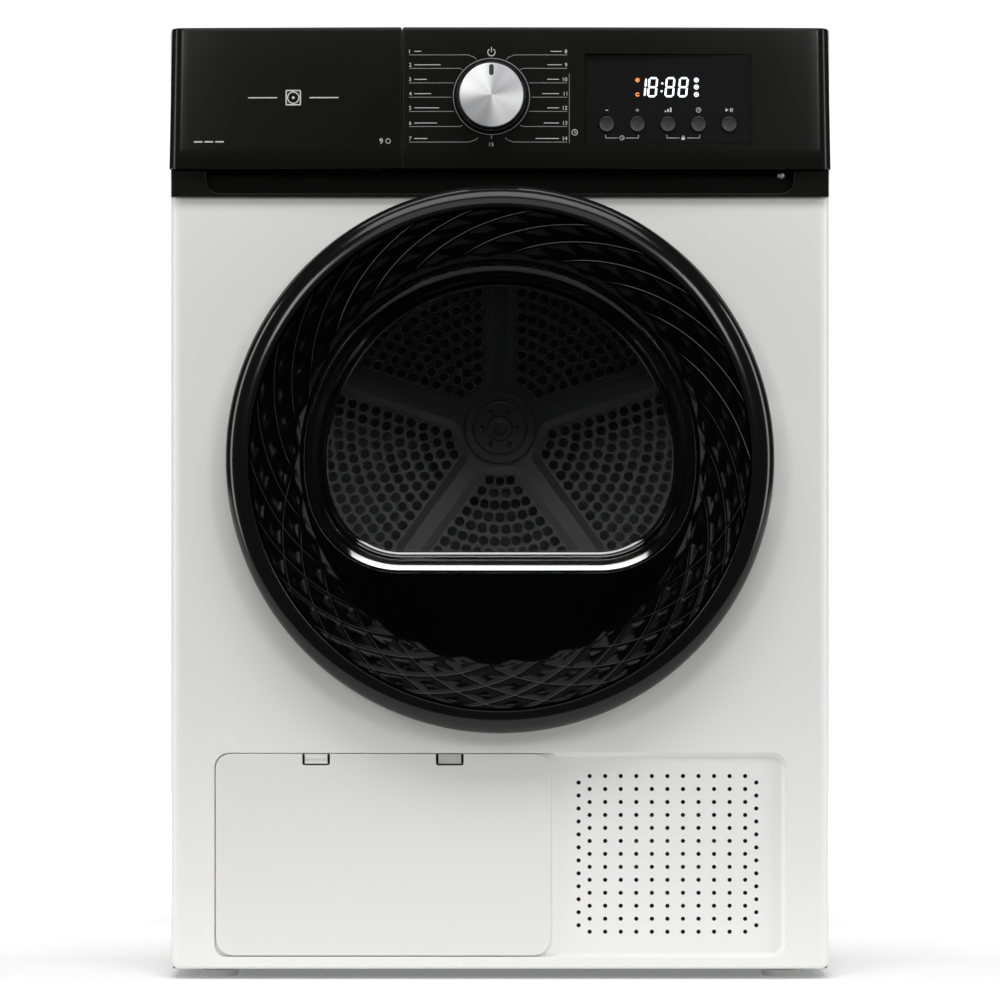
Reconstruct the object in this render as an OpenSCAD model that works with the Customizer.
// Free-standing heat pump clothes dryer, built as an assembly of separate pieces.
// Frame: millimetres, origin at the centre of the floor footprint, +Z up, door faces -Y.

/* [Cabinet] */
// width across the side panels
body_w = 596; // [580:2:716]
// overall height from the floor to the worktop
body_h = 860; // [850:5:1032]
// depth from the front panel to the rear panel
body_d = 566; // [560:2:680]
// sheet thickness of the cabinet panels
sheet = 1.2; // [0.8:0.1:1.5]
// height of the black control fascia
fascia_h = 127.4; // [120:1:140]
// how far the middle of the fascia bows forward of its ends
fascia_bow = 8; // [6:0.5:9]
// height of the black trim below the fascia
trim_h = 24.6; // [22:0.2:26]

/* [Door] */
// outer radius of the door rim
door_r = 246.7; // [205:0.5:250]
// distance from the worktop down to the door centre
door_drop = 389.2; // [385:0.2:395]
// how far the door stands out from the front panel
door_out = 46; // [44:0.5:50]

/* [Controls] */
// radius of the programme knob face
knob_r = 28.7; // [24:0.1:35]
// how far the knob stands out of the fascia
knob_out = 20; // [16:0.5:22]
// radius of the round push buttons
button_r = 7; // [5.5:0.1:8.5]
// spacing of the push buttons
button_pitch = 27.6; // [24:0.1:30]
// width of the water drawer front
drawer_w = 210.9; // [205:0.1:220]

/* [Drum] */
// outer radius of the drum
drum_r = 278; // [230:0.5:279]
// distance from the worktop down to the drum axis
drum_drop = 354; // [350:1:360]
// diameter of the holes in the rear plate of the drum
drum_hole_d = 8.6; // [6:0.2:9]

/* [Lower front] */
// width of the service flap
flap_w = 303; // [280:1:310]
// height of the service flap
flap_h = 182.3; // [176:0.1:186]
// diameter of the vent holes
vent_d = 3.8; // [2.6:0.1:4.6]

/* [Feet] */
// radius of the screw feet
foot_r = 17.4; // [14:0.2:21]
// height of the cabinet underside above the floor
foot_z = 9; // [8:0.5:11]

/* [Hidden] */

// cabinet planes
duct_out = 28;
half_d = (body_d + door_out + duct_out) / 2;
front_y = door_out - half_d;
rear_y = half_d - duct_out;
half_w = body_w / 2;
in_x = half_w - sheet;
fascia_x = half_w + 1;
fascia_z = body_h - fascia_h;
trim_z = fascia_z - trim_h;
top_t = 24;
top_z = body_h - top_t;
edge_r = 9;
tray_h = 25;

// lower recess, service flap and vents
pan_x = 258.3 * body_w / 596;
pan_z0 = 20.6;
pan_z1 = pan_z0 + flap_h + 2;
pan_deep = 4;
pan_r = 12;
flap_r = 17;
pan_y = front_y + pan_deep;
flap_x0 = 1 - pan_x;
flap_x1 = flap_x0 + flap_w;
flap_z0 = pan_z0 + 1;
flap_t = 3.4;
flap_axis_y = front_y + flap_t / 2;
flap_axis_z = flap_z0 + flap_t / 2;
clip_w = 20.5;
clip_h = 10.4;
clip_z = flap_z0 + flap_h - clip_h;
clip_x_left = flap_x0 + 80.6;
clip_x_right = flap_x0 + 201.6;
vent_cols = 11;
vent_rows = 13;
vent_px = 14.09;
vent_pz = 11.75;
vent_x = flap_x1 + 35.5;
vent_z = 42.9;

// door
door_z = body_h - door_drop;
door_k = door_r / 246.7;
rim_back = front_y - 7;
rim_front = front_y - door_out;
rim_in = 226 * door_k;
win_r = 176.6 * door_k;
win_floor = 102.3 * door_k;
win_fillet = 85 * door_k;
win_mid = sqrt(pow(win_r - win_fillet, 2) - pow(win_floor - win_fillet, 2));
opening_r = 200 * door_k;
hinge_x = door_r - 10.7;
hinge_y = front_y - 18;
hinge_r = 5;
pin_r = 2.5;
run_fit = 0.05;

// controls
bow_top = front_y - 22;
face_y = bow_top + 4.5;
knob_x = -7.7;
knob_z = body_h - 62.6;
disp_x0 = 76.4;
disp_x1 = 226.6;
disp_z0 = body_h - 105.1;
disp_z1 = body_h - 24;
button_x = 151.4;
button_z = body_h - 87.2;
seam_x = drawer_w - fascia_x;

// drum
drum_z = body_h - drum_drop;
drum_t = 1.5;
drum_y0 = front_y + 52;
drum_y1 = rear_y - 54;
belt_y = 55;
belt_w = 10;
belt_t = 2.5;
belt_gap = 0.5;
motor_x = 190;
motor_z = 100;
pulley_r = 12.5;
idler_r = 16;
roller_r = 22;
roller_w = 18;
// inner lip of the drum clears the lower corners of the door bowl all the way round
lip_clear = 32.85;
lip_r = norm([win_mid, door_z + win_fillet - win_floor - drum_z]) + win_fillet + lip_clear;
lip_band = drum_r - lip_r;
roller_dx = (drum_r + roller_r + 0.4) * sin(35);
roller_dz = (drum_r + roller_r + 0.4) * cos(35);

// feet
foot_x = half_w - 42;
foot_y0 = front_y + 40;
foot_y1 = rear_y - 40;

// colours
white = [0.93, 0.93, 0.92];
black = [0.08, 0.08, 0.08];
dark = [0.2, 0.2, 0.21];
steel = [0.7, 0.71, 0.72];
zinc = [0.6, 0.62, 0.63];
grey = [0.5, 0.5, 0.52];

// points of an arc about (cx, cy) from angle a0 to a1 in n steps
function arc(cx, cy, r, a0, a1, n) =
  [for (i = [0 : n]) [cx + r * cos(a0 + (a1 - a0) * i / n), cy + r * sin(a0 + (a1 - a0) * i / n)]];

// rounded rectangle outline from (x0, y0) to (x1, y1)
function rounded(x0, y0, x1, y1, r) = concat(
  arc(x1 - r, y1 - r, r, 0, 90, 6), arc(x0 + r, y1 - r, r, 90, 180, 6),
  arc(x0 + r, y0 + r, r, 180, 270, 6), arc(x1 - r, y0 + r, r, 270, 360, 6));

// window outline: a circle with a flat bottom and round shoulders, grown by g
function window_pts(g) =
  let (r = win_r + g, f = win_fillet + g, h = win_floor + g,
       cz = f - h, cx = sqrt(pow(r - f, 2) - pow(cz, 2)), a = atan2(cz, cx))
  concat(arc(0, 0, r, a, 180 - a, 60),
         arc(-cx, cz, f, 180 - a, 270, 16), arc(cx, cz, f, 270, 360 + a, 16));

// front of the bowed fascia at x
function bow_y(x) = bow_top + fascia_bow * pow(x / fascia_x, 2);

// a rod along +Y starting at (x, y, z)
module rod_y(x, y, z, r, len) {
  translate([x, y + len, z])
    rotate([90, 0, 0])
      cylinder(r = r, h = len, $fn = 64);
}

// a plate in the XZ plane between y0 and y1, drawn from a 2D child
module plate_y(y0, y1) {
  translate([0, y1, 0])
    rotate([90, 0, 0])
      linear_extrude(height = y1 - y0)
        children();
}

// a block between two corners
module block(x0, y0, z0, x1, y1, z1) {
  translate([x0, y0, z0])
    cube([x1 - x0, y1 - y0, z1 - z0]);
}

// a ring along Y between y0 and y1
module ring_y(x, y0, y1, z, r1, r2) {
  translate([x, y1, z])
    rotate([90, 0, 0])
      difference() {
        cylinder(r = r2, h = y1 - y0, $fn = 128);
        translate([0, 0, -1])
          cylinder(r = r1, h = y1 - y0 + 2, $fn = 128);
      }
}

// ---- cabinet ----

module foot_sockets() {
  for (x = [-foot_x, foot_x])
    for (y = [foot_y0, foot_y1])
      translate([x, y, foot_z - 1])
        cylinder(r = 5.05, h = 40, $fn = 48);
}

module base_tray() {
  color(grey) difference() {
    union() {
      difference() {
        union() {
          block(-in_x, front_y + 12, foot_z, in_x, rear_y - sheet, foot_z + tray_h);
          block(12 - in_x, pan_y + sheet, foot_z, in_x - 12, front_y + 13, foot_z + tray_h);
        }
        block(4 - in_x, front_y + 16, foot_z + 5, in_x - 4, rear_y - sheet - 4, 100);
      }
      for (x = [-foot_x, foot_x])
        for (y = [foot_y0, foot_y1])
          translate([x, y, foot_z])
            cylinder(r = 14, h = 22, $fn = 48);
      block(motor_x - 40, -15, foot_z + 2, motor_x + 40, 45, 56);
    }
    foot_sockets();
  }
}

module side_panel(s) {
  xa = s > 0 ? in_x : -half_w;
  xf = s > 0 ? in_x - 14 : -in_x;
  color(white) {
    block(xa, front_y + 12, foot_z, xa + sheet, rear_y, top_z);
    block(xa, front_y, trim_z, xa + sheet, front_y + 12, top_z);
    block(xf, rear_y - 16, foot_z + tray_h + 1, xf + 14, rear_y - 16 + sheet, top_z);
  }
}

module side_panel_left() {
  side_panel(-1);
}

module side_panel_right() {
  side_panel(1);
}

module front_outline() {
  translate([0, front_y])
    difference() {
      polygon(concat([[half_w, 12], [half_w, edge_r]],
        arc(half_w - edge_r, edge_r, edge_r, 0, -90, 6),
        arc(edge_r - half_w, edge_r, edge_r, 270, 180, 6), [[-half_w, 12]]));
      polygon(concat([[in_x, 13], [in_x, edge_r]],
        arc(half_w - edge_r, edge_r, edge_r - sheet, 0, -90, 6),
        arc(edge_r - half_w, edge_r, edge_r - sheet, 270, 180, 6), [[-in_x, 13]]));
    }
}

module pan_outline(g) {
  polygon(rounded(-pan_x - g, pan_z0 - g, pan_x + g, pan_z1 + g, pan_r + g));
}

module vent_holes() {
  for (i = [0 : vent_cols - 1])
    for (j = [0 : vent_rows - 1])
      translate([vent_x + i * vent_px, vent_z + j * vent_pz])
        circle(d = vent_d, $fn = 24);
  for (x = [vent_x - 10, vent_x + (vent_cols - 1) * vent_px + 10.1])
    for (j = [0 : vent_rows - 2])
      translate([x, vent_z + (j + 0.5) * vent_pz])
        circle(d = vent_d, $fn = 24);
}

access_x0 = flap_x0 + 17.3;
access_x1 = flap_x1 - 15.7;
access_z0 = 38;
access_z1 = pan_z1 - 18;

module front_panel() {
  color(white) {
    difference() {
      translate([0, 0, foot_z])
        linear_extrude(height = trim_z - foot_z)
          front_outline();
      rod_y(0, front_y - 5, door_z, opening_r, 30);
      plate_y(front_y - 5, front_y + 20)
        pan_outline(0);
      block(-door_r + 18, front_y - 5, door_z - 14, -door_r + 34, front_y + 20, door_z + 14);
    }
    plate_y(front_y + sheet, pan_y + sheet) difference() {
      pan_outline(sheet);
      pan_outline(0);
    }
    plate_y(pan_y, pan_y + sheet) difference() {
      pan_outline(0);
      vent_holes();
      translate([access_x0, access_z0])
        square([access_x1 - access_x0, access_z1 - access_z0]);
      translate([clip_x_left + 2, clip_z + 1])
        square([clip_w - 4, 6]);
      translate([clip_x_right + 2, clip_z + 1])
        square([clip_w - 4, 6]);
    }
  }
}

module rear_panel() {
  color(zinc) plate_y(rear_y - sheet, rear_y) difference() {
    translate([-in_x, foot_z])
      square([2 * in_x, top_z - foot_z]);
    translate([0, drum_z]) difference() {
      circle(r = drum_r - 40, $fn = 96);
      circle(r = 70, $fn = 64);
      for (a = [45 : 90 : 315])
        rotate(a)
          translate([60, -12])
            square([drum_r, 24]);
    }
    translate([-150, 60])
      square([120, 100]);
    translate([in_x - 60, 120])
      circle(r = 8, $fn = 48);
  }
}

duct_r = drum_r - 26;

module duct_outline(g) {
  translate([0, drum_z])
    circle(r = duct_r - g, $fn = 96);
  translate([-170 + g, 48 + g])
    square([160 - 2 * g, drum_z - 60]);
}

module rear_duct_cover() {
  color(zinc) difference() {
    union() {
      plate_y(rear_y, rear_y + duct_out) duct_outline(0);
      plate_y(rear_y, rear_y + 1.5) duct_outline(-10);
    }
    plate_y(rear_y - 1, rear_y + duct_out - 1.5) duct_outline(1.5);
  }
}

module top_panel() {
  color(white) {
    translate([0, 0, top_z])
      linear_extrude(height = top_t)
        polygon([[-half_w, front_y], [half_w, front_y],
                 [half_w, rear_y + 6], [-half_w, rear_y + 6]]);
  }
}

// plan outline of the fascia between x0 and x1, wall taken in by g
function front_line(x0, x1, g) =
  [for (i = [0 : 32]) let (x = x0 + (x1 - x0) * i / 32) [x, bow_y(x) + g]];

corner_r = 12;
corner_x = fascia_x - corner_r;
corner_y = bow_y(corner_x) + corner_r;

module fascia_right(g) {
  polygon(concat([[seam_x + 0.3 + g, front_y + g]], front_line(seam_x + 0.3 + g, corner_x, g),
    arc(corner_x, corner_y, corner_r - g, -90, 0, 8), [[fascia_x - g, front_y + g]]));
}

module fascia_left(g) {
  polygon(concat([[g - fascia_x, front_y + g]], arc(-corner_x, corner_y, corner_r - g, 180, 270, 8),
    front_line(-corner_x, seam_x - 0.3 - g, g), [[seam_x - 0.3 - g, front_y + g]]));
}

lens_y = bow_top + 5;
pad_y = lens_y + 1.5;
pad_back = pad_y + 3;
board_y = front_y - 5;

function button_at(i) = button_x + (i - 3) * button_pitch;

module control_fascia() {
  color(black) difference() {
    union() {
      difference() {
        translate([0, 0, fascia_z])
          linear_extrude(height = fascia_h)
            fascia_right(0);
        translate([0, 0, fascia_z + 3])
          linear_extrude(height = fascia_h - 6)
            fascia_right(3);
      }
      block(disp_x0 - 3, bow_y(disp_x0) + 1, disp_z0 - 3, disp_x1 + 3, pad_back, disp_z1 + 3);
      for (x = [seam_x + 20, 240])
        for (z = [body_h - 100, body_h - 30])
          rod_y(x, bow_y(x) + 2, z, 3, board_y - bow_y(x) - 2);
    }
    block(seam_x + 3.4, front_y - 4, fascia_z + 3, fascia_x - 3, front_y + 1, body_h - 3);
    block(disp_x0, bow_top - 5, disp_z0, disp_x1, pad_y, disp_z1);
    block(disp_x1, bow_top - 5, disp_z0 - 4, disp_x1 + 4, bow_y(disp_x1 + 4), disp_z1 + 4);
    rod_y(knob_x, bow_top - 5, knob_z, 6, 20);
    ring_y(knob_x, bow_top - 5, bow_top + 0.6, knob_z, knob_r + 5.4, knob_r + 6.2);
    for (i = [1 : 5])
      rod_y(button_at(i), bow_top - 5, button_z, button_r + 0.4, 20);
  }
}

module display_lens() {
  color([0.04, 0.04, 0.05]) difference() {
    block(disp_x0, lens_y, disp_z0, disp_x1, pad_y, disp_z1);
    for (i = [1 : 5])
      rod_y(button_at(i), lens_y - 5, button_z, button_r + 0.4, 20);
  }
}

module control_board() {
  color([0.1, 0.35, 0.2]) difference() {
    union() {
      block(seam_x + 12, board_y, body_h - 108, 250, board_y + 1.6, body_h - 24);
      block(knob_x - 9, bow_top + 5, knob_z - 9, knob_x + 9, board_y, knob_z + 9);
    }
    rod_y(knob_x, bow_top, knob_z, 3 + run_fit, board_y - bow_top - 1);
  }
}

module lower_trim() {
  color(black) difference() {
    block(1 - half_w, front_y - 6, trim_z, half_w - 1, front_y, fascia_z);
    plate_y(front_y - 12, front_y + 2)
      polygon(rounded(-265.5, trim_z + 3, 265.5, fascia_z + 30, 12.6));
  }
  color(black) difference() {
    block(4 - in_x, front_y, trim_z + 1, in_x - 4, front_y + 12, fascia_z);
    block(-270, front_y - 1, trim_z + 4, 270, front_y + 10, fascia_z + 1);
  }
  color(steel)
    rod_y(255, front_y + 6, trim_z + 20, 3.2, 5);
}

module cross_rails() {
  color(zinc) {
    block(-in_x, front_y + 12, trim_z + 1, in_x, front_y + 34, trim_z + 23);
    block(-in_x, rear_y - 50, top_z - 30, in_x, rear_y - 20, top_z);
  }
}

tunnel_y0 = front_y + sheet;
wall_y = front_y + 34;
filter_z1 = -win_floor - 14;
filter_h = 100;

module front_bulkhead() {
  color(dark) {
    difference() {
      union() {
        plate_y(wall_y, wall_y + 3) difference() {
          union() {
            translate([-in_x, trim_z - 494])
              square([2 * in_x, 491]);
            translate([0, drum_z])
              circle(r = drum_r - 6, $fn = 96);
          }
          translate([0, door_z])
            polygon(window_pts(15));
        }
        translate([0, 0, door_z]) {
          plate_y(tunnel_y0, wall_y + 14) difference() {
            polygon(window_pts(17));
            polygon(window_pts(14));
          }
          plate_y(tunnel_y0, tunnel_y0 + 2.5) difference() {
            circle(r = opening_r + 6, $fn = 96);
            polygon(window_pts(14));
          }
          block(-89, wall_y - 26, filter_z1 - filter_h - 6, 89, wall_y, filter_z1 - 3);
        }
        for (s = [-1, 1])
          rod_y(s * roller_dx, wall_y + 1, drum_z - roller_dz, 4, roller_w + 26);
      }
      translate([0, 0, door_z])
        block(-86, wall_y - 23, filter_z1 - filter_h - 3, 86, wall_y - 5, filter_z1 + 6);
    }
  }
}

module lint_filter() {
  color([0.75, 0.78, 0.8]) translate([0, 0, door_z]) difference() {
    block(-84, wall_y - 22, filter_z1 - filter_h - 3, 84, wall_y - 6, filter_z1 - 0.5);
    block(-78, wall_y - 19, filter_z1 - filter_h + 4, 78, wall_y - 9, filter_z1 - 14);
    for (x = [-74 : 30 : 46])
      block(x, wall_y - 30, filter_z1 - filter_h + 8, x + 26, wall_y, filter_z1 - 20);
    block(-22, wall_y - 18, filter_z1 - 9, 22, wall_y - 10, filter_z1 + 1);
  }
}

module door_seal() {
  color([0.15, 0.15, 0.15])
    ring_y(0, rim_back + 0.2, tunnel_y0, door_z, opening_r - 6, opening_r - 1);
}

module front_felt_seal() {
  color([0.55, 0.53, 0.5])
    ring_y(0, wall_y + 3, drum_y0 - 0.3, drum_z,
           lip_r + 0.59 * lip_band, lip_r + 0.84 * lip_band);
}

module rear_air_ring() {
  color(grey) {
    ring_y(0, drum_y1 + 8, rear_y - sheet, drum_z, drum_r - 43, drum_r - 40);
    ring_y(0, drum_y1 + 8, drum_y1 + 11, drum_z, drum_r - 41, drum_r - 6);
  }
}

module rear_felt_seal() {
  color([0.55, 0.53, 0.5])
    ring_y(0, drum_y1 + 0.4, drum_y1 + 8, drum_z, drum_r - 22, drum_r - 8);
}

module shaft_bearing() {
  color(steel)
    ring_y(0, rear_y - 26, rear_y - sheet, drum_z, 8 + run_fit, 22);
}

module drive_motor() {
  color(zinc) difference() {
    union() {
      rod_y(motor_x, -24, motor_z, 43, 66);
      rod_y(motor_x, 42, motor_z, 18, 6);
      block(motor_x - 30, -14, motor_z - 44, motor_x + 30, 40, motor_z - 30);
    }
    rod_y(motor_x, 20, motor_z, 5 + run_fit, 40);
  }
  idler_bracket();
}

module compressor() {
  color(black) translate([185, -110, foot_z + 5]) {
    cylinder(r = 74, h = 6, $fn = 6);
    translate([0, 0, 6])
      cylinder(r = 62, h = 176, $fn = 96);
    translate([0, 0, 182])
      cylinder(r1 = 62, r2 = 40, h = 18, $fn = 96);
    translate([0, 0, 200])
      cylinder(r = 14, h = 10, $fn = 48);
  }
}

module fin_block(y0, y1) {
  difference() {
    block(-260, y0, foot_z + 5, -20, y1, 175);
    for (i = [0 : 9])
      block(-250 + i * 23, y0 - 1, foot_z + 15, -236 + i * 23, y0 + 14, 165);
  }
}

module evaporator() {
  color(steel)
    fin_block(-200, -95);
}

module condenser() {
  color(steel)
    fin_block(-80, 40);
}

fan_x = vent_x + (vent_cols - 1) * vent_px / 2;
fan_z = vent_z + (vent_rows - 1) * vent_pz / 2;
shroud_y = pan_y + sheet;

module fan_shroud() {
  color(dark) difference() {
    block(fan_x - 86, shroud_y, fan_z - 76, fan_x + 86, shroud_y + 34, fan_z + 76);
    block(fan_x - 83, shroud_y - 1, fan_z - 73, fan_x + 83, shroud_y + 30, fan_z + 73);
    difference() {
      rod_y(fan_x, shroud_y + 20, fan_z, 56, 20);
      rod_y(fan_x, shroud_y + 20, fan_z, 14, 20);
      for (a = [0, 60, 120])
        translate([fan_x, shroud_y + 32, fan_z])
          rotate([0, a, 0])
            cube([130, 14, 8], center = true);
    }
    rod_y(fan_x, shroud_y + 20, fan_z, 3 + run_fit, 20);
  }
}

module cooling_fan() {
  color(grey) {
    rod_y(fan_x, shroud_y + 8, fan_z, 16, 18);
    rod_y(fan_x, shroud_y + 25, fan_z, 3, 8);
    for (a = [0 : 45 : 315])
      translate([fan_x, shroud_y + 17, fan_z])
        rotate([0, a, 0])
          translate([14, 0, 0])
            rotate([35, 0, 0])
              cube([36, 2, 18]);
  }
}

tank_x0 = 14.5 - fascia_x;
tank_x1 = seam_x - 24;
tank_z0 = top_z - 64;
tank_z1 = top_z - 2;
tank_y1 = rear_y - 77;

module tank_tray() {
  color(grey) difference() {
    union() {
      block(tank_x0 - 3.5, front_y + 12, tank_z0 - 3, tank_x1 + 3.5, tank_y1 + 12, tank_z0 + 16);
      block(tank_x0 - 3.5, tank_y1 + 9, tank_z0 - 3, tank_x1 + 3.5, tank_y1 + 12, top_z);
      block(tank_x0 - 3.5, front_y + 12, trim_z + 23, tank_x0 + 12, wall_y, tank_z0 - 2);
      block(tank_x1 - 12, front_y + 12, trim_z + 23, tank_x1 + 3.5, wall_y, tank_z0 - 2);
    }
    block(tank_x0 - 1.5, front_y - 1, tank_z0 - 0.5, tank_x1 + 1.5, tank_y1 + 9, top_z + 1);
  }
}

module exchanger_cover() {
  color(grey) {
    difference() {
      block(access_x0 - 8, shroud_y, access_z0 - 3, access_x1 + 8, shroud_y + 12, access_z1 + 8);
      block(access_x0, shroud_y - 1, access_z0, access_x1, shroud_y + 8, access_z1);
    }
    for (x = [access_x0 + 20, access_x1 - 20])
      for (z = [access_z0 + 20, access_z1 - 20]) {
        rod_y(x, shroud_y + 4, z, 9, 4);
        block(x - 2, shroud_y + 0.5, z - 8, x + 2, shroud_y + 4, z + 8);
      }
  }
}

module hinge_bracket() {
  color(zinc) translate([hinge_x, hinge_y, door_z]) difference() {
    union() {
      block(-24, 15.5, -50, 5, 18, 50);
      for (z = [-50, 40]) {
        block(-5, 0, z, 5, 16, z + 10);
        translate([0, 0, z])
          cylinder(r = hinge_r, h = 10, $fn = 64);
      }
      translate([0, 0, -50])
        cylinder(r = pin_r, h = 100, $fn = 64);
    }
    for (z = [-24, 24])
      rod_y(-16, 0, z, 2.2, 30);
  }
}

module cable_gland() {
  color(black) difference() {
    union() {
      rod_y(in_x - 60, rear_y - 5, 120, 8, 5);
      rod_y(in_x - 60, rear_y, 120, 12, 4);
    }
    rod_y(in_x - 60, rear_y - 10, 120, 4, 20);
  }
}

// ---- door ----

notch_z = 53;

rim_w = door_r - rim_in;
crown = 15;

module door_rim() {
  color(black) translate([0, 0, door_z]) difference() {
    rotate([90, 0, 0])
      rotate_extrude($fn = 180)
        polygon(concat(
          [[door_r - 3, -rim_back], [door_r, -rim_back]],
          [for (t = [0 : 10 : 90])
            [rim_in + 1 + (rim_w - 1) * cos(t), -rim_front - crown * (1 - sin(t))]],
          [[rim_in, -rim_front - 1], [rim_in, -rim_front - 20], [rim_in + 2.5, -rim_front - 20]],
          [for (t = [90 : -10 : 0])
            [rim_in + 2.5 + (rim_w - 5.5) * cos(t), -rim_front - 3 - (crown - 3) * (1 - sin(t))]]));
    block(hinge_x - 8, hinge_y - 12, -notch_z, door_r + 5, rim_back + 5, notch_z);
  }
}

ring_y0 = rim_front + 8;
ring_y1 = rim_back - 9;
frame_t = 3;

module door_facet_ring() {
  color([0.1, 0.1, 0.1]) translate([0, 0, door_z]) difference() {
    rotate([90, 0, 0])
      rotate_extrude($fn = 72)
        polygon([[90 * door_k, -ring_y1 - 2.5], [win_r + 6, -ring_y1 - 2.5], [rim_in, -ring_y0 - 2.5],
                 [rim_in, -ring_y0], [win_r + 6, -ring_y1], [90 * door_k, -ring_y1]]);
    plate_y(ring_y0 - 20, ring_y1 + 20)
      polygon(window_pts(0));
  }
}

bowl_y0 = ring_y1 + 2.5;
bowl_y1 = front_y + 79;
bowl_deep = bowl_y1 - bowl_y0;

// bowl solid: a cone cut to the window outline, taken in by g all round
module bowl_solid(g, y1) {
  intersection() {
    plate_y(bowl_y0 - 1, y1)
      polygon(window_pts(-g));
    translate([0, bowl_y0 - 1, 0])
      rotate([-90, 0, 0])
        cylinder(r1 = win_r + 1 - g, r2 = 150 * door_k - g, h = bowl_deep + 1, $fn = 180);
  }
}

module door_bowl() {
  color([0.75, 0.8, 0.82, 0.35]) translate([0, 0, door_z]) difference() {
    union() {
      bowl_solid(0.2, bowl_y1);
      plate_y(bowl_y0, rim_back - frame_t)
        polygon(window_pts(10));
    }
    bowl_solid(5, bowl_y1 - 5);
    plate_y(bowl_y0 - 5, bowl_y0)
      circle(r = win_r + 20, $fn = 96);
  }
}

module door_inner_frame() {
  color(dark) translate([0, 0, door_z]) difference() {
    union() {
      plate_y(rim_back - frame_t, rim_back) circle(r = door_r - 3.2, $fn = 180);
      ring_y(0, rim_front + 20, rim_back - 1, 0, rim_in, rim_in + 2.5);
    }
    plate_y(rim_back - 40, rim_back + 5)
      polygon(window_pts(1));
    block(rim_in - 2, hinge_y - 40, -notch_z, door_r + 5, rim_back + 5, notch_z);
    block(rim_in - 14.2, hinge_y - 3.2, -38, rim_in + 4, rim_back - frame_t, 38);
  }
}

module door_hinge_arm() {
  color(zinc) translate([0, 0, door_z]) difference() {
    union() {
      translate([hinge_x, hinge_y, -37.5])
        cylinder(r = hinge_r, h = 75, $fn = 64);
      block(rim_in - 14, hinge_y - 3, -37.5, hinge_x - 1, hinge_y + 3, 37.5);
      block(rim_in - 14, hinge_y - 3, -37.5, rim_in, rim_back - frame_t, 37.5);
    }
    translate([hinge_x, hinge_y, -40])
      cylinder(r = pin_r + run_fit, h = 80, $fn = 64);
  }
}

module door_latch_hook() {
  color(grey) translate([0, 0, door_z]) {
    block(26.5 - door_r, rim_back, -9, 30 - door_r, front_y + 8, 9);
    block(24 - door_r, front_y + 5, -9, 30 - door_r, front_y + 8, 9);
  }
}

// ---- service flap ----

module clip_notch(x) {
  translate([x - 0.8, clip_z - 0.8])
    square([clip_w + 1.6, clip_h + 5]);
}

module service_flap() {
  color(white) {
    difference() {
      union() {
        plate_y(front_y, front_y + flap_t)
          intersection() {
            polygon(rounded(flap_x0, flap_z0, flap_x1, flap_z0 + flap_h, flap_r));
            translate([flap_x0 - 1, flap_axis_z])
              square([flap_w + 2, flap_h]);
          }
        translate([flap_x0 + flap_r, flap_axis_y, flap_axis_z])
          rotate([0, 90, 0])
            cylinder(r = flap_t / 2, h = flap_w - 2 * flap_r, $fn = 48);
      }
      plate_y(front_y - 1, front_y + flap_t + 1) {
        clip_notch(clip_x_left);
        clip_notch(clip_x_right);
      }
      for (x = [clip_x_left, clip_x_right])
        translate([x - 3, flap_axis_y, clip_z + 1.7])
          rotate([0, 90, 0])
            cylinder(r = 0.8 + run_fit, h = clip_w + 6, $fn = 32);
    }
  }
}

module clip(x) {
  color(white) {
    difference() {
      block(x, front_y + 0.2, clip_z + 1.7, x + clip_w, front_y + flap_t, clip_z + clip_h);
      block(x + 2.5, front_y - 1, clip_z + 3, x + clip_w - 2.5, front_y + 1.6, clip_z + 7.6);
    }
    translate([x, flap_axis_y, clip_z + 1.7])
      rotate([0, 90, 0])
        cylinder(r = 1.5, h = clip_w, $fn = 48);
    translate([x - 2.5, flap_axis_y, clip_z + 1.7])
      rotate([0, 90, 0])
        cylinder(r = 0.8, h = clip_w + 5, $fn = 32);
  }
}

module flap_clip_left() {
  clip(clip_x_left);
}

module flap_clip_right() {
  clip(clip_x_right);
}

// ---- water drawer ----

module tank_drawer_front() {
  color(black) difference() {
    translate([0, 0, fascia_z + 0.3])
      linear_extrude(height = fascia_h - 0.3)
        fascia_left(0);
    translate([0, 0, fascia_z + 3])
      linear_extrude(height = fascia_h - 6)
        fascia_left(3);
    block(3 - fascia_x, front_y - 4, fascia_z + 3, seam_x - 3.4, front_y + 1, body_h - 3);
  }
  color(black)
    block(tank_x0 + 10, front_y - 3, fascia_z + 2, tank_x1 - 10, front_y, top_z + 4);
}

module water_tank() {
  color([0.85, 0.87, 0.88]) difference() {
    union() {
      block(tank_x0, front_y + 12, tank_z0, tank_x1, tank_y1, tank_z1);
      block(tank_x0 + 14, front_y, tank_z0 + 8, tank_x1 - 14, front_y + 13, tank_z1 - 8);
    }
    block(tank_x0 + 2.5, front_y + 15, tank_z0 + 2.5, tank_x1 - 2.5, tank_y1 - 2.5, tank_z1 - 2.5);
    translate([(tank_x0 + tank_x1) / 2, tank_y1 - 60, tank_z1 - 5])
      cylinder(r = 16, h = 10, $fn = 48);
  }
}

// ---- controls ----

knob_y0 = bow_top - 1;
knob_y1 = bow_top - 1 - knob_out;

module knob_body() {
  color(black) difference() {
    union() {
      translate([knob_x, knob_y0, knob_z])
        rotate([90, 0, 0])
          cylinder(r1 = knob_r + 3.5, r2 = knob_r + 1, h = knob_out - 0.5, $fn = 128);
      rod_y(knob_x, knob_y0 - 1, knob_z, 3, board_y - knob_y0 - 1);
    }
    rod_y(knob_x, knob_y1 - 1, knob_z, knob_r, 3);
  }
}

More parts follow.
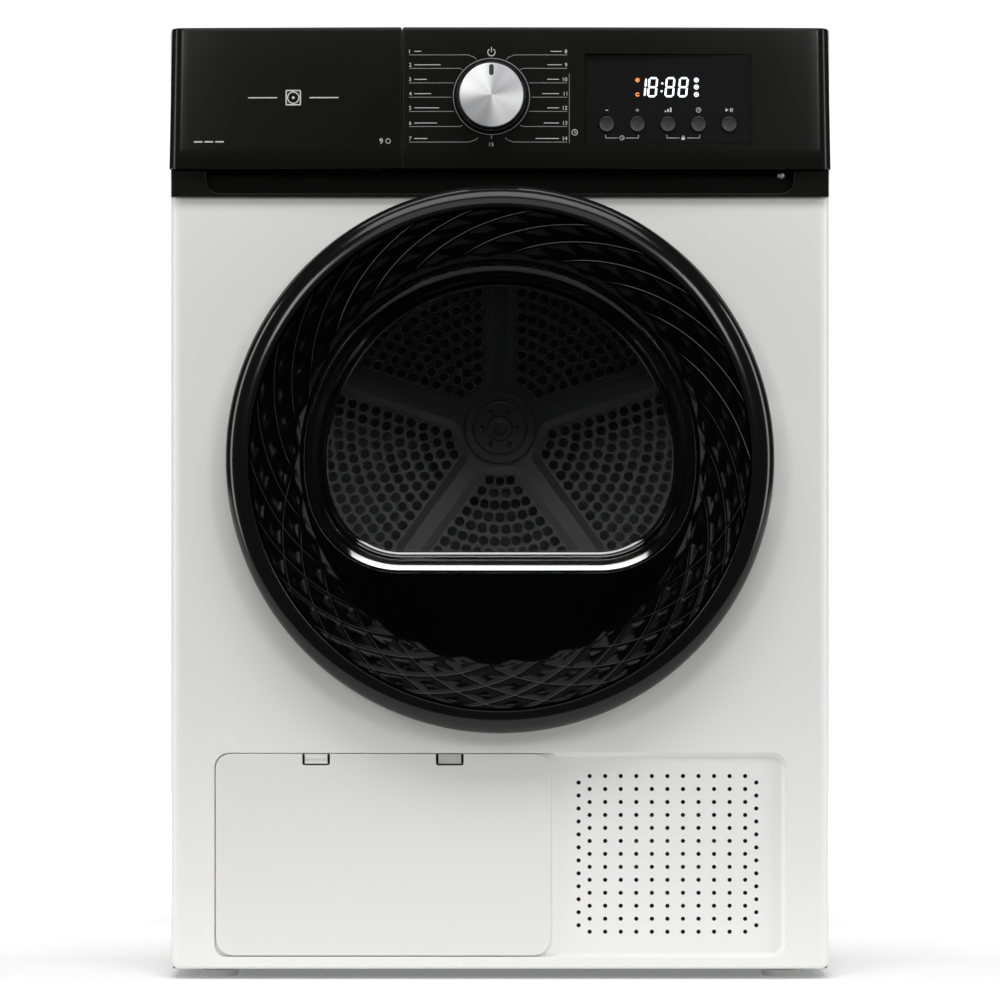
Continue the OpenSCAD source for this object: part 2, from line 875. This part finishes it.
module knob_cap() {
  color(steel) difference() {
    rod_y(knob_x, knob_y1, knob_z, knob_r, 2);
    block(knob_x - 2, knob_y1 - 1, knob_z + knob_r - 11, knob_x + 2, knob_y1 + 0.5, knob_z + knob_r - 2);
  }
}

module button(i) {
  x = button_at(i);
  color(grey) {
    rod_y(x, lens_y - 2, button_z, button_r, pad_back - lens_y + 2.3);
    rod_y(x, pad_back + 0.2, button_z, button_r + 1.5, 1.5);
    rod_y(x, pad_back + 1, button_z, 2, board_y - pad_back - 2.8);
  }
}

module button_1() {
  button(1);
}

module button_2() {
  button(2);
}

module button_3() {
  button(3);
}

module button_4() {
  button(4);
}

module button_5() {
  button(5);
}

// ---- drum and drive ----

module drum_shell() {
  color(steel) {
    ring_y(0, drum_y0, drum_y1, drum_z, drum_r - drum_t, drum_r);
    ring_y(0, drum_y0, drum_y0 + drum_t, drum_z, lip_r, drum_r - drum_t);
    ring_y(0, drum_y0, drum_y0 + 8, drum_z, lip_r - 1, lip_r + 0.5);
  }
}

star_r = 168;
arm_w = 30;
hub_r = 37;
hole_rows = 10;

module drum_rear_plate() {
  color(steel) {
    translate([0, 0, drum_z])
      plate_y(drum_y1 - drum_t, drum_y1) difference() {
        circle(r = drum_r - drum_t, $fn = 180);
        for (k = [0 : hole_rows - 1])
          for (a = [0 : 4])
            for (i = [0 : 2 + k])
              let (r = 55 + k * 12, w = asin((arm_w / 2 + 7.3) / r))
                rotate(90 + a * 72 + w + (72 - 2 * w) * i / (2 + k))
                  translate([r, 0])
                    circle(d = drum_hole_d, $fn = 24);
      }
    translate([0, 0, drum_z]) difference() {
      union() {
        plate_y(drum_y1 - drum_t - 4, drum_y1 - drum_t) {
          circle(r = hub_r, $fn = 96);
          for (a = [0 : 4])
            rotate(90 + a * 72) {
              translate([0, -arm_w / 2])
                square([star_r - arm_w / 2, arm_w]);
              translate([star_r - arm_w / 2, 0])
                circle(d = arm_w, $fn = 48);
            }
        }
        rod_y(0, drum_y1 - drum_t - 9, 0, 12.5, 6);
        for (a = [0 : 60 : 300])
          rod_y(18.5 * cos(a), drum_y1 - drum_t - 6, 18.5 * sin(a), 2.6, 3);
      }
      rod_y(0, drum_y1 - drum_t - 10, 0, 3.2, 6);
    }
    rod_y(0, drum_y1 - 1, drum_z, 8, rear_y - drum_y1 - 8);
  }
}

module drum_lifters() {
  color(grey) translate([0, 0, drum_z])
    intersection() {
      rod_y(0, drum_y0 + 12, 0, drum_r - drum_t, drum_y1 - drum_y0 - 24);
      for (a = [30, 150, 270])
        rotate([0, a, 0])
          plate_y(drum_y0 + 10, drum_y1 - 12)
            polygon([[-34, drum_r + 4], [-34, lip_r + 0.57 * lip_band], [-14, lip_r + 0.07 * lip_band],
                     [14, lip_r + 0.07 * lip_band], [34, lip_r + 0.57 * lip_band], [34, drum_r + 4]]);
    }
}

// belt path: open belt round the drum and the motor pulley, grown by g
belt_len = sqrt(pow(motor_x, 2) + pow(drum_z - motor_z, 2));
belt_dir = atan2(motor_z - drum_z, motor_x);
belt_a = acos((drum_r - pulley_r) / belt_len);

module belt_area(g) {
  polygon(concat(
    arc(0, drum_z, drum_r + g, belt_dir + belt_a, belt_dir + 360 - belt_a, 96),
    arc(motor_x, motor_z, pulley_r + g, belt_dir - belt_a, belt_dir + belt_a, 12)));
}

module drive_belt() {
  color([0.12, 0.12, 0.12])
    plate_y(belt_y, belt_y + belt_w) difference() {
      belt_area(belt_gap + belt_t);
      belt_area(belt_gap);
    }
}

module motor_pulley() {
  color(steel) {
    rod_y(motor_x, belt_y - 2, motor_z, pulley_r, belt_w + 4);
    rod_y(motor_x, belt_y - 4, motor_z, pulley_r + 1.5, 2.5);
    rod_y(motor_x, 24, motor_z, 5, belt_y - 24);
  }
}

// idler pulley bears on the outside of the left-hand run of the belt
span_a = belt_dir - belt_a;
span_x = motor_x + (pulley_r + belt_gap + belt_t + 0.4 + idler_r) * cos(span_a);
span_z = motor_z + (pulley_r + belt_gap + belt_t + 0.4 + idler_r) * sin(span_a);
idler_x = span_x + 60 * cos(span_a - 90);
idler_z = span_z + 60 * sin(span_a - 90);
pivot_x = idler_x - 40;
pivot_z = idler_z - 30;

module idler_arm() {
  color(zinc) difference() {
    union() {
      rod_y(pivot_x, belt_y + belt_w + 6, pivot_z, 10, 4);
      rod_y(idler_x, belt_y + belt_w + 6, idler_z, 8, 4);
      translate([pivot_x, belt_y + belt_w + 6, pivot_z])
        rotate([0, -atan2(idler_z - pivot_z, idler_x - pivot_x), 0])
          translate([0, 0, -6])
            cube([50, 4, 12]);
      rod_y(idler_x, belt_y - 1, idler_z, 3, belt_w + 8);
    }
    rod_y(pivot_x, belt_y, pivot_z, 4 + run_fit, 40);
  }
}

module idler_pulley() {
  color(black)
    ring_y(idler_x, belt_y - 1, belt_y + belt_w + 1, idler_z, 3 + run_fit, idler_r);
}

module idler_bracket() {
  color(zinc) {
    rod_y(pivot_x, belt_y + belt_w + 5, pivot_z, 4, 14);
    block(pivot_x - 12, belt_y + belt_w + 12, foot_z + 5, pivot_x + 12, belt_y + belt_w + 16, pivot_z + 8);
    block(pivot_x - 12, belt_y + belt_w + 12, foot_z + 5, pivot_x + 12, belt_y + belt_w + 40, foot_z + 8);
    block(pivot_x, belt_y + belt_w + 16, foot_z + 36, motor_x + 3, belt_y + belt_w + 19, foot_z + 53);
    block(motor_x - 3, 30, foot_z + 47.2, motor_x + 3, belt_y + belt_w + 19, foot_z + 53);
  }
}

module drum_roller(s) {
  color([0.25, 0.25, 0.25])
    ring_y(s * roller_dx, wall_y + 14, wall_y + 14 + roller_w, drum_z - roller_dz, 4 + run_fit, roller_r);
}

module drum_roller_left() {
  drum_roller(-1);
}

module drum_roller_right() {
  drum_roller(1);
}

// ---- feet ----

module screw_foot(x, y) {
  color([0.75, 0.75, 0.75]) translate([x, y, 0]) {
    cylinder(r1 = 5, r2 = foot_r, h = 4.5, $fn = 64);
    translate([0, 0, 4.5])
      cylinder(r = foot_r, h = foot_z - 5.5, $fn = 64);
    translate([0, 0, foot_z - 2])
      cylinder(r = 5, h = 22, $fn = 48);
  }
}

module foot_front_left() {
  screw_foot(-foot_x, foot_y0);
}

module foot_front_right() {
  screw_foot(foot_x, foot_y0);
}

module foot_rear_left() {
  screw_foot(-foot_x, foot_y1);
}

module foot_rear_right() {
  screw_foot(foot_x, foot_y1);
}

base_tray();
side_panel_left();
side_panel_right();
front_panel();
rear_panel();
rear_duct_cover();
top_panel();
control_fascia();
lower_trim();
display_lens();
control_board();
cross_rails();
front_bulkhead();
door_seal();
front_felt_seal();
rear_air_ring();
rear_felt_seal();
shaft_bearing();
lint_filter();
drive_motor();
compressor();
evaporator();
condenser();
fan_shroud();
tank_tray();
exchanger_cover();
hinge_bracket();
cable_gland();
drive_belt();
door_rim();
door_facet_ring();
door_bowl();
door_inner_frame();
door_hinge_arm();
door_latch_hook();
service_flap();
flap_clip_left();
flap_clip_right();
tank_drawer_front();
water_tank();
knob_body();
knob_cap();
button_1();
button_2();
button_3();
button_4();
button_5();
drum_shell();
drum_rear_plate();
drum_lifters();
motor_pulley();
idler_arm();
idler_pulley();
drum_roller_left();
drum_roller_right();
cooling_fan();
foot_front_left();
foot_front_right();
foot_rear_left();
foot_rear_right();
